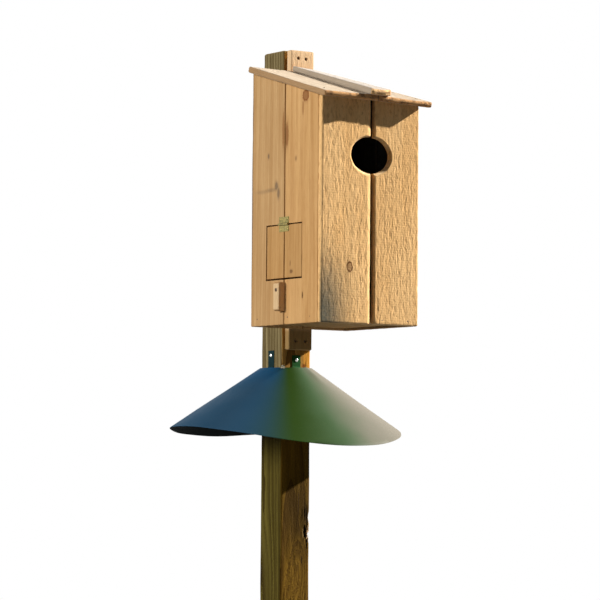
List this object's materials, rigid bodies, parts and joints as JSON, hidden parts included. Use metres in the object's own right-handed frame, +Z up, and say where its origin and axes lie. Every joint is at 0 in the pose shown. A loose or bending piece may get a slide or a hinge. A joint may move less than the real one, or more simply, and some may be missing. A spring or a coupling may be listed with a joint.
{
  "type": "nest box",
  "caption": "Tall board nest box with an oval entrance, a side cleaning door and a sloping roof, held by a strip on a square post with a cone guard below.",
  "frame": {"origin": "centre of the post's foot, on the ground", "axes": "+Z up along the post; the front of the box, with the entrance hole, faces -Y; +X is to the right of someone facing +Y"},
  "size_m": [0.58, 0.6962, 2.44],
  "materials": {
    "cedar": "rough-sawn, weathered",
    "treated_pine": "planed, weathered olive brown",
    "guard_paint": "satin dark green paint on thin sheet",
    "brass": "plated, slightly dull",
    "zinc_steel": "zinc plated"
  },
  "bodies": {
    "box_and_post": {"post": "treated_pine", "mounting_strip": "cedar", "back_board_left": "cedar", "back_board_right": "cedar", "left_side_rear_board": "cedar", "left_side_front_board": "cedar", "right_side_rear_board": "cedar", "right_side_front_board": "cedar", "front_board_left": "cedar", "front_board_right": "cedar", "floor_board_front": "cedar", "floor_board_rear": "cedar", "roof_board_left": "cedar", "roof_board_right": "cedar", "roof_batten": "cedar", "hinge_upper_leaf": "brass", "hinge_pin": "brass", "turn_button_screw": "zinc_steel", "predator_guard": "guard_paint", "guard_tab_front": "guard_paint", "guard_tab_right": "guard_paint", "guard_tab_back": "guard_paint", "guard_tab_left": "guard_paint"},
    "cleaning_door": {"door_rear_half": "cedar", "door_front_half": "cedar", "door_ledge_upper": "cedar", "door_ledge_lower": "cedar", "hinge_lower_leaf": "brass"},
    "turn_button": {"turn_button": "cedar"}
  },
  "joints": [
    {"name": "door_hinge", "type": "hinge", "parent": "box_and_post", "child": "cleaning_door", "pos_m": [-0.1527, -0.204, 1.9855], "axis": [0, 1, 0], "range_deg": [0, 170]},
    {"name": "button_turn", "type": "hinge", "parent": "box_and_post", "child": "turn_button", "pos_m": [-0.15, -0.198, 1.825], "axis": [-1, 0, 0], "continuous": true}
  ]
}
